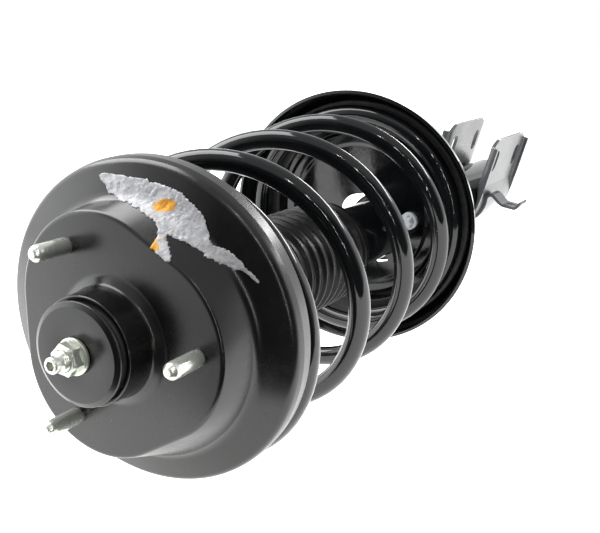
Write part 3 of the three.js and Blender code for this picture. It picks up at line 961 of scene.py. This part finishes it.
@dataclass
class SpringSet:
    """The coil spring, its rubber pads and the pressed lower seat."""

    mean_r: float = 89.2
    wire_r: float = 7.2
    pitch: float = 82.3
    free_start: float = -69.7
    top_w: float = 20.0
    bottom_w: float = 298.0
    first_turn: float = 0.35
    last_turn: float = 5.25
    phase: float = -7.2
    blend: float = 6.0
    per_turn: int = 72
    sides: int = 24
    floor_w: float = 310.4
    seat_sheet: float = 2.6
    seat_hole_r: float = 25.8
    notches: Sequence[Corner] = ((115, 32.5, 4.2), (-77, 30.5, 6))
    plug_x: float = 46.5
    plug_z: float = -1.0

    def centre_line(self, turn: float) -> Vector:
        """A point of the wire's centre line: level on each seat and evenly pitched between them."""
        free = self.free_start + self.pitch * turn
        ease: Callable[[float], float] = lambda x: 0.5 * (x + math.hypot(x, self.blend))
        w = self.top_w + ease(free - self.top_w) - ease(free - self.bottom_w)
        a = math.tau * turn + math.radians(self.phase)
        return Vector((self.mean_r * math.cos(a), w, -self.mean_r * math.sin(a)))

    def coil(self) -> None:
        """The painted wire, drawn ring by ring along its centre line."""
        rows = round((self.last_turn - self.first_turn) * self.per_turn)
        tiny = 0.01

        def ring(i: int, j: int) -> Vector:
            """Point j of the wire's section at step i."""
            turn = self.first_turn + i / self.per_turn
            here = self.centre_line(turn)
            along = (self.centre_line(turn + tiny) - self.centre_line(turn - tiny)).normalized()
            out = Vector((here.x, 0, here.z)).normalized()
            side = along.cross(out).normalized()
            a = math.tau * j / self.sides
            return here + self.wire_r * (out * math.cos(a) + side * math.sin(a))

        obj = piece("coil", capped(drawn(self.sides, rows + 1, ring, closed=True)), AXES.spring(),
                    Finishes.GLOSS, Body.SPRING, ["coil_spring"], sharp=50)
        anchor = AXES.spring() @ Vector((0, self.top_w - self.wire_r, 0))
        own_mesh(obj)

    def pads(self) -> None:
        """The rubber pads between the wire and its seats."""
        upper = rounded([(70, -3.4, 1), (86, -4.8, 3), (92, -1.4, 3), (96, 3, 2), (96, 12, 1.5), (91, 12.2, 1.5),
                         (88, 7, 3), (80, 9, 2), (72, 12, 1.5), (70, 11, 1)], closed=True)
        piece("upper_pad", spun(upper, 96), AXES.dish(), Finishes.RUBBER, Body.TOP, ["upper_isolator"])
        lower = rounded([(78, 310, 0.6), (78, 306.4, 1), (83, 306.4, 2), (89, 307.4, 4), (95, 306.4, 2),
                         (99, 306.4, 1), (99, 310, 0.6)], closed=True)
        piece("lower_pad", spun(lower, 96), AXES.spring(), Finishes.RUBBER, Body.LOWER,
              ["lower_isolator"])

    def seat(self) -> None:
        """The lower seat: a pressed pan with a turned-up rim, cut round the tube and drained."""
        front = rounded([(18, self.floor_w, 0), (60, self.floor_w, 2), (63, self.floor_w - 1.8, 2),
                         (70, self.floor_w - 1.8, 2), (73, self.floor_w, 2), (100.6, self.floor_w, 4.5),
                         (103.2, 302, 7), (105.2, 293.5, 4), (106.9, 288.9, 0)])
        bm = spun(wall(front, self.seat_sheet), 160)
        bmesh.ops.transform(bm, matrix=AXES.spring(), verts=bm.verts)
        bmesh.ops.transform(bm, matrix=AXES.damper().inverted(), verts=bm.verts)
        r = self.seat_hole_r
        cutters = [spun([Vector((0, 250)), Vector((r, 250)), Vector((r, 360)), Vector((0, 360))], 96)]
        for degrees, reach, half in self.notches:
            slot = rounded([(16, -half, 0), (reach, -half, 2.4), (reach, half, 2.4), (16, half, 0)], closed=True)
            turn = Matrix.Rotation(-math.radians(degrees), 4, "Y") @ Matrix.Rotation(-math.pi / 2, 4, "X")
            cutters.append(prism(slot, turn @ Matrix.Translation((0, 0, 285)), 60))
        piece("lower_seat_pan", carved(bm, cutters), AXES.damper(), Finishes.GLOSS, Body.LOWER,
              ["lower_spring_seat"], bevel=1.0, sharp=50)

    def plug(self) -> None:
        """The ribbed nylon plug in the seat's spare hole."""
        w = self.floor_w
        outline = rounded([(0, w - 12, 0), (4.2, w - 12, 1), (5.4, w - 10, 0.8), (5.4, w - 5.2, 0.4),
                           (7.4, w - 4.5, 0.6), (7.4, w - 0.3, 0.5), (3.8, w - 0.3, 0), (3.8, w + 6, 1),
                           (0, w + 7.4, 0)], steps=4)
        bm = spun(outline, 64)
        for vert in bm.verts:
            if w - 11.8 < vert.co.y < w - 5.4:
                grown = 1 + 0.09 * math.cos(8 * math.atan2(vert.co.z, vert.co.x))
                vert.co.x *= grown
                vert.co.z *= grown
        bmesh.ops.translate(bm, vec=(self.plug_x, 0, self.plug_z), verts=bm.verts)
        piece("nylon_plug", bm, AXES.spring(), Finishes.PLASTIC, Body.LOWER, ["seat_plug"])

    def build(self) -> None:
        """Makes the spring and everything that it stands on."""
        self.coil()
        self.pads()
        self.seat()
        self.plug()


# ---------------------------------------------------------------- clevis

@dataclass
class Clevis:
    """The two pressed halves that grip the knuckle, and the strap for the brake hose."""

    roll: float = 15.5
    mid: float = 24.0
    sheet: float = 3.6
    wrap_r: float = 27.6
    front: float = 501.8
    back: float = 606.2
    top: float = 68.6
    bend: float = 4.0
    lip: float = 6.6
    slot_h: float = 44.5
    slot_r: float = 6.4
    slot_long: float = 5.0
    slots: tuple[float, float] = (523.0, 589.0)
    hose_front: float = 518.4
    hose_back: float = 541.6
    hose_r: float = 31.2

    def section(self) -> Outline:
        """Middle line of one half, from the top of the ear to under the tube."""
        around = [(self.wrap_r * math.cos(a), self.wrap_r * math.sin(a), 0.0)
                  for a in (math.radians(17 - 7 * k) for k in range(16))]
        straight = [(self.mid, self.top - 6.4 * k, 0.0) for k in range(8)]
        return rounded([*straight, (self.mid, 17.0, 6), *around], steps=4)

    def rows(self) -> list[tuple[float, float]]:
        """(place along the tube, share of the turned-out lip) of each row, from front to back."""
        curl = []
        for k in range(6):
            a = math.pi / 2 * k / 5
            curl.append((self.bend * (1 - math.cos(a)), self.bend * (1 - math.sin(a))))
        ahead = [(self.front, self.lip)] + [(self.front + y, out) for y, out in curl]
        behind = [(self.front + self.back - y, out) for y, out in reversed(ahead)]
        span = behind[0][0] - ahead[-1][0]
        middle = [(ahead[-1][0] + span * k / 12, 0.0) for k in range(1, 12)]
        return ahead + middle + behind

    def half_mesh(self) -> bmesh.types.BMesh:
        """The right half as a thick sheet with its slots, before it is rolled round the tube axis."""
        line, rows = self.section(), self.rows()
        normals = []
        for i, p in enumerate(line):
            along = (line[min(i + 1, len(line) - 1)] - line[max(i - 1, 0)]).normalized()
            normals.append(Vector((-along.y, along.x)))

        def place(i: int, j: int) -> Vector:
            """Point j of the section in row i."""
            y, out = rows[i]
            p, n = line[j], normals[j]
            share = 1 - 0.7 * ramp(20 - p.y, 0, 22)
            corner = 7.5 * (1 - ramp(y, self.front - 1, self.front + 15)) + 6 * ramp(y, self.back - 12, self.back + 2)
            hook = 1.3 * ramp(5 - abs(y - 592), 0, 3)
            high = self.top - corner + hook
            h = 34 + (p.y - 34) * (high - 34) / (self.top - 34) if p.y > 34 else p.y
            return Vector((p.x + n.x * out * share, y, h + n.y * out * share))

        sheet = drawn(len(line), len(rows), place)
        face_out(sheet, lambda c: Vector((1, 0, 0)) if c.z > 17 else Vector((c.x, 0, c.z)))
        cutters = []
        for y in self.slots:
            turn = Matrix.Translation((5, y, self.slot_h)) @ Matrix.Rotation(math.pi / 2, 4, "Y")
            cutters.append(prism(self.slot_outline(), turn, 40))
        return carved(sheet, cutters, self.sheet, 0.0)

    def slot_outline(self) -> Outline:
        """A round-ended slot, long in the direction of the ear."""
        points: Outline = []
        for end in (1, -1):
            for k in range(13):
                a = math.pi * k / 12 - math.pi / 2
                points.append(Vector((end * (self.slot_long + self.slot_r * math.cos(a)),
                                      end * self.slot_r * math.sin(a))))
        return points

    def halves(self) -> None:
        """Both halves, the left one mirrored."""
        for name, side in (("right", 1), ("left", -1)):
            bm = self.half_mesh()
            bmesh.ops.scale(bm, vec=(side, 1, 1), verts=bm.verts)
            bmesh.ops.recalc_face_normals(bm, faces=bm.faces)
            bmesh.ops.rotate(bm, matrix=Matrix.Rotation(math.radians(self.roll), 3, "Y"), verts=bm.verts)
            # Their grey coat is a painted sheen on black paint.
            piece(f"clevis_ear_{name}", bm, AXES.damper(), Finishes.PAINTED_SHEEN_GREY, Body.LOWER,
                  [f"clevis_{name}"], bevel=0.7, sharp=40)

    def hose_strap(self) -> None:
        """The strap that arches off the tube to a slotted tab with an upturned end."""
        around = [(self.hose_r * math.cos(a), self.hose_r * math.sin(a), 0.0)
                  for a in (math.radians(-60 + 9 * k) for k in range(6))]
        line = rounded([*around, (self.hose_r, -1.2, 4), (36.5, 1.8, 5), (47, -8.5, 7), (62, -11, 3.5),
                        (67.2, -4.6, 0)], steps=5)
        count = 9

        def place(i: int, j: int) -> Vector:
            """Point j of the strap's line in row i."""
            y = self.hose_front + (self.hose_back - self.hose_front) * i / (count - 1)
            return Vector((line[j].x, y, line[j].y))

        sheet = drawn(len(line), count, place)
        face_out(sheet, lambda c: Vector((c.x, 0, c.z)) if c.x < 33 else Vector((0, 0, 1)))
        slot = rounded([(49.5, 527, 2.9), (60, 527, 2.9), (60, 533, 2.9), (49.5, 533, 2.9)], closed=True)
        bm = carved(sheet, [prism(slot, Matrix.Translation((0, 0, -25)), 40)], 3.0, 0.0)
        # Its grey coat is a painted sheen on black paint.
        piece("hose_strap", bm, AXES.damper(), Finishes.PAINTED_SHEEN_GREY, Body.LOWER, ["hose_bracket"],
              bevel=0.6, sharp=40)

    def build(self) -> None:
        """Makes the clevis and its strap."""
        self.halves()
        self.hose_strap()


# ---------------------------------------------------------------- studio

@dataclass
class Studio:
    """A white floor, soft lights, and the camera."""

    place: tuple[float, float, float] = (330.46, -404.35, 172.08)
    azimuth: float = 29.53
    elevation: float = 14.79
    roll: float = 0.63
    lens: float = 55.19
    sky: float = 0.7
    floor_glow: float = 1.9
    floor_edge: float = -0.42
    sky_from: tuple[float, float] = (0.35, 0.7)
    around: Sequence[tuple[float, float]] = (
        (-180, 0.9), (-150, 1.9), (-120, 2.0), (-105, 0.5), (-85, 0.06), (0, 0.07), (12, 0.35), (24, 0.9),
        (36, 1.5), (43, 2.4), (50, 3.6), (100, 3.0), (130, 1.2))

    def camera(self) -> None:
        """The camera, placed from the strut's own axes."""
        data = bpy.data.cameras.new("view")
        data.lens, data.sensor_width, data.clip_start = self.lens, SENSOR_MM, 0.01
        obj = bpy.data.objects.new("view", data)
        bpy.context.scene.collection.objects.link(obj)
        az, el = math.radians(self.azimuth), math.radians(self.elevation)
        ahead = Vector((-math.sin(az) * math.cos(el), math.cos(az) * math.cos(el), -math.sin(el)))
        level = ahead.to_track_quat("-Z", "Y").to_matrix().to_4x4()
        turn = Matrix.Rotation(math.radians(-self.roll), 4, ahead) @ level
        obj.matrix_world = Matrix.Translation(AXES.damper() @ Vector(self.place)) @ turn
        bpy.context.scene.camera = obj

    def floor(self) -> None:
        """A wide pale floor that glows, so that it stays white round the strut, and ends in front of it."""
        bm = bmesh.new()
        bmesh.ops.create_grid(bm, x_segments=1, y_segments=1, size=FLOOR_HALF)
        mesh = bpy.data.meshes.new("floor")
        bm.to_mesh(mesh)
        bm.free()
        s = Shader("floor_white")
        s.set(Base_Color=(0.5, 0.5, 0.5, 1), Roughness=0.9, Emission_Color=(1, 1, 0.99, 1),
              Emission_Strength=self.floor_glow)
        mesh.materials.append(s.material)
        obj = bpy.data.objects.new("floor", mesh)
        turn = Matrix.Rotation(math.radians(self.azimuth), 4, "Z")
        edge = Matrix.Translation((0, self.floor_edge, -FLOOR_DROP))
        obj.matrix_world = edge @ turn @ Matrix.Translation((0, FLOOR_HALF, 0))
        bpy.context.scene.collection.objects.link(obj)

    def light(self, name: str, at: tuple[float, float, float], size: tuple[float, float], power: float,
              aim: tuple[float, float, float] = (0.0, -0.1, 0.1)) -> None:
        """One rectangular lamp.

        Args:
            name: its name.
            at: its place in metres.
            size: its width and height in metres.
            power: its power in watts.
            aim: the point that it faces.
        """
        data = bpy.data.lights.new(name, "AREA")
        data.shape, data.size, data.size_y, data.energy = "RECTANGLE", *size, power
        obj = bpy.data.objects.new(name, data)
        obj.location = at
        obj.rotation_euler = (Vector(aim) - Vector(at)).to_track_quat("-Z", "Y").to_euler()
        bpy.context.scene.collection.objects.link(obj)

    @staticmethod
    def ranged(tree: bpy.types.NodeTree, value: bpy.types.NodeSocket, source: tuple[float, float],
               result: tuple[float, float], shape: str = "LINEAR") -> bpy.types.NodeSocket:
        """Maps a value from one range to another.

        Args:
            tree: the node tree.
            value: the socket to read.
            source: the range that it comes from.
            result: the range that it goes to.
            shape: how it runs in between.

        Returns:
            The mapped value.
        """
        node = tree.nodes.new("ShaderNodeMapRange")
        node.interpolation_type = shape
        for key, number in zip(("From Min", "From Max", "To Min", "To Max"), (*source, *result)):
            node.inputs[key].default_value = number
        tree.links.new(value, node.inputs["Value"])
        return node.outputs["Result"]

    def world(self) -> None:
        """White surroundings with a dark side behind the viewer, as in a studio with its sweep at the back."""
        world = bpy.data.worlds.new("studio")
        bpy.context.scene.world = world
        world.use_nodes = True
        tree = world.node_tree
        sky, out = tree.nodes["Background"], tree.nodes["World Output"]
        way = tree.nodes.new("ShaderNodeSeparateXYZ")
        tree.links.new(tree.nodes.new("ShaderNodeTexCoord").outputs["Generated"], way.inputs[0])
        west, south, angle = (tree.nodes.new("ShaderNodeMath") for _ in range(3))
        west.operation = south.operation = "MULTIPLY"
        west.inputs[1].default_value = south.inputs[1].default_value = -1.0
        angle.operation = "ARCTAN2"
        tree.links.new(way.outputs["X"], west.inputs[0])
        tree.links.new(way.outputs["Y"], south.inputs[0])
        tree.links.new(west.outputs[0], angle.inputs[0])
        tree.links.new(south.outputs[0], angle.inputs[1])
        level = self.ranged(tree, angle.outputs[0], (-math.pi, math.pi), (0.0, 1.0))
        wheel = tree.nodes.new("ShaderNodeValToRGB")
        top = max(value for _, value in self.around)
        stops = wheel.color_ramp.elements
        while len(stops) < len(self.around):
            stops.new(1.0)
        for stop, (degrees, value) in zip(stops, self.around):
            stop.position = (degrees + 180) / 360
            stop.color = (value / top, value / top, value / top, 1)
        tree.links.new(level, wheel.inputs[0])
        side = self.ranged(tree, wheel.outputs[0], (0.0, 1.0), (0.0, top))
        high = self.ranged(tree, way.outputs["Z"], self.sky_from, (0.0, 1.0), "SMOOTHSTEP")
        blend = tree.nodes.new("ShaderNodeMix")
        blend.inputs[3].default_value = self.sky
        tree.links.new(high, blend.inputs[0])
        tree.links.new(side, blend.inputs[2])
        tree.links.new(blend.outputs[0], sky.inputs["Strength"])
        seen = tree.nodes.new("ShaderNodeBackground")
        path = tree.nodes.new("ShaderNodeLightPath")
        mix = tree.nodes.new("ShaderNodeMixShader")
        tree.links.new(path.outputs["Is Camera Ray"], mix.inputs[0])
        tree.links.new(sky.outputs[0], mix.inputs[1])
        tree.links.new(seen.outputs[0], mix.inputs[2])
        tree.links.new(mix.outputs[0], out.inputs["Surface"])
        sky.inputs["Color"].default_value = (0.98, 0.99, 1, 1)
        seen.inputs["Color"].default_value = (1, 1, 1, 1)

    def sparkles(self) -> None:
        """Two small softboxes and a line of tiny bulbs that show as points on the painted wire."""
        centre = Vector((0.05, -0.1, 0.15))
        points = [(147, 42, 0.055, 0.8), (143, 27, 0.05, 0.6)]
        points += [(139 + 2.5 * math.sin(2.3 * k), -10 + 3.4 * k, 0.016, 0.16) for k in range(10)]
        for i, (azimuth, height, size, power) in enumerate(points):
            a, h = math.radians(azimuth), math.radians(height)
            way = Vector((math.sin(a) * math.cos(h), math.cos(a) * math.cos(h), math.sin(h)))
            self.light(f"sparkle_{i + 1}", tuple(centre + way * SPARKLE_REACH), (size, size), power, tuple(centre))

    def build(self) -> None:
        """Sets up the whole studio."""
        bpy.context.scene.view_settings.view_transform = "Standard"
        self.camera()
        self.floor()
        self.world()
        self.light("overhead", (-0.68, -0.3, 1.2), (1.0, 1.15), 27)
        self.light("back_strip", (0.45, 1.0, 0.75), (1.4, 0.12), 10)
        self.sparkles()


def main() -> None:
    """Builds the studio and every sub-assembly."""
    logging.basicConfig(level=logging.INFO, format="%(name)s %(message)s")
    mount = TopMount()
    for part in (Studio(), mount, FoilRemnant(mount), Damper(), SpringSet(), Clevis()):
        part.build()
        LOG.info("%s is built", type(part).__name__)


if __name__ == "__main__":
    main()
